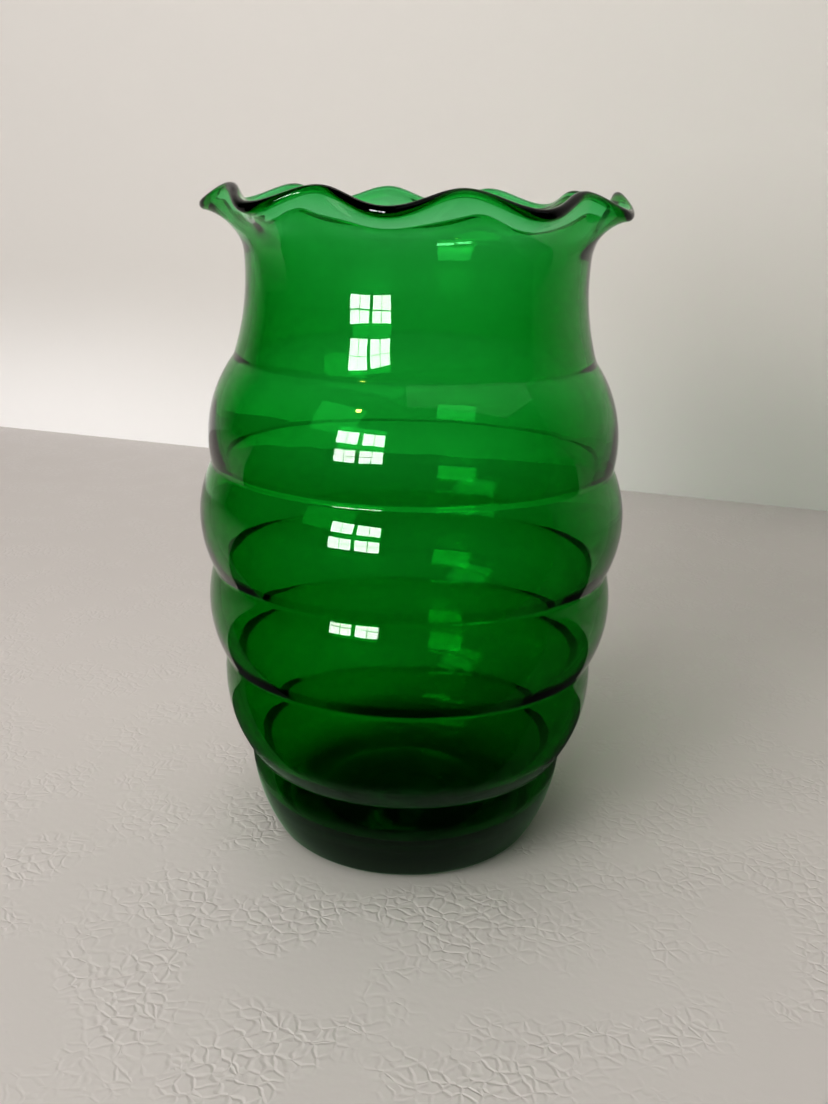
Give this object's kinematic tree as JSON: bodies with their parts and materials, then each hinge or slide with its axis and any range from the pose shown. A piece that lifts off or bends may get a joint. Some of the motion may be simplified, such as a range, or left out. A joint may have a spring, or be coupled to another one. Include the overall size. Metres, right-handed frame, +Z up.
{
  "type": "ruffled glass posy vase",
  "caption": "Free-standing green glass vase with a ringed barrel body, a waisted neck and a flared, crimped rim that holds cut flowers in water.",
  "frame": {"origin": "centre of the underside, on the level of the standing ring", "axes": "+Z up along the vase's axis of revolution; the front is -Y"},
  "size_m": [0.1046, 0.1046, 0.1621],
  "materials": {
    "green_glass": "polished, clear, deep green",
    "thick_glass": "polished, clear, deep green, darker where the glass is thick"
  },
  "bodies": {
    "root": {"base": "thick_glass", "foot_ring": "thick_glass", "lower_lobe": "green_glass", "middle_lobe": "green_glass", "widest_lobe": "green_glass", "shoulder_lobe": "green_glass", "neck": "green_glass", "ruffled_flare": "green_glass", "lip_bead": "thick_glass"}
  },
  "joints": []
}
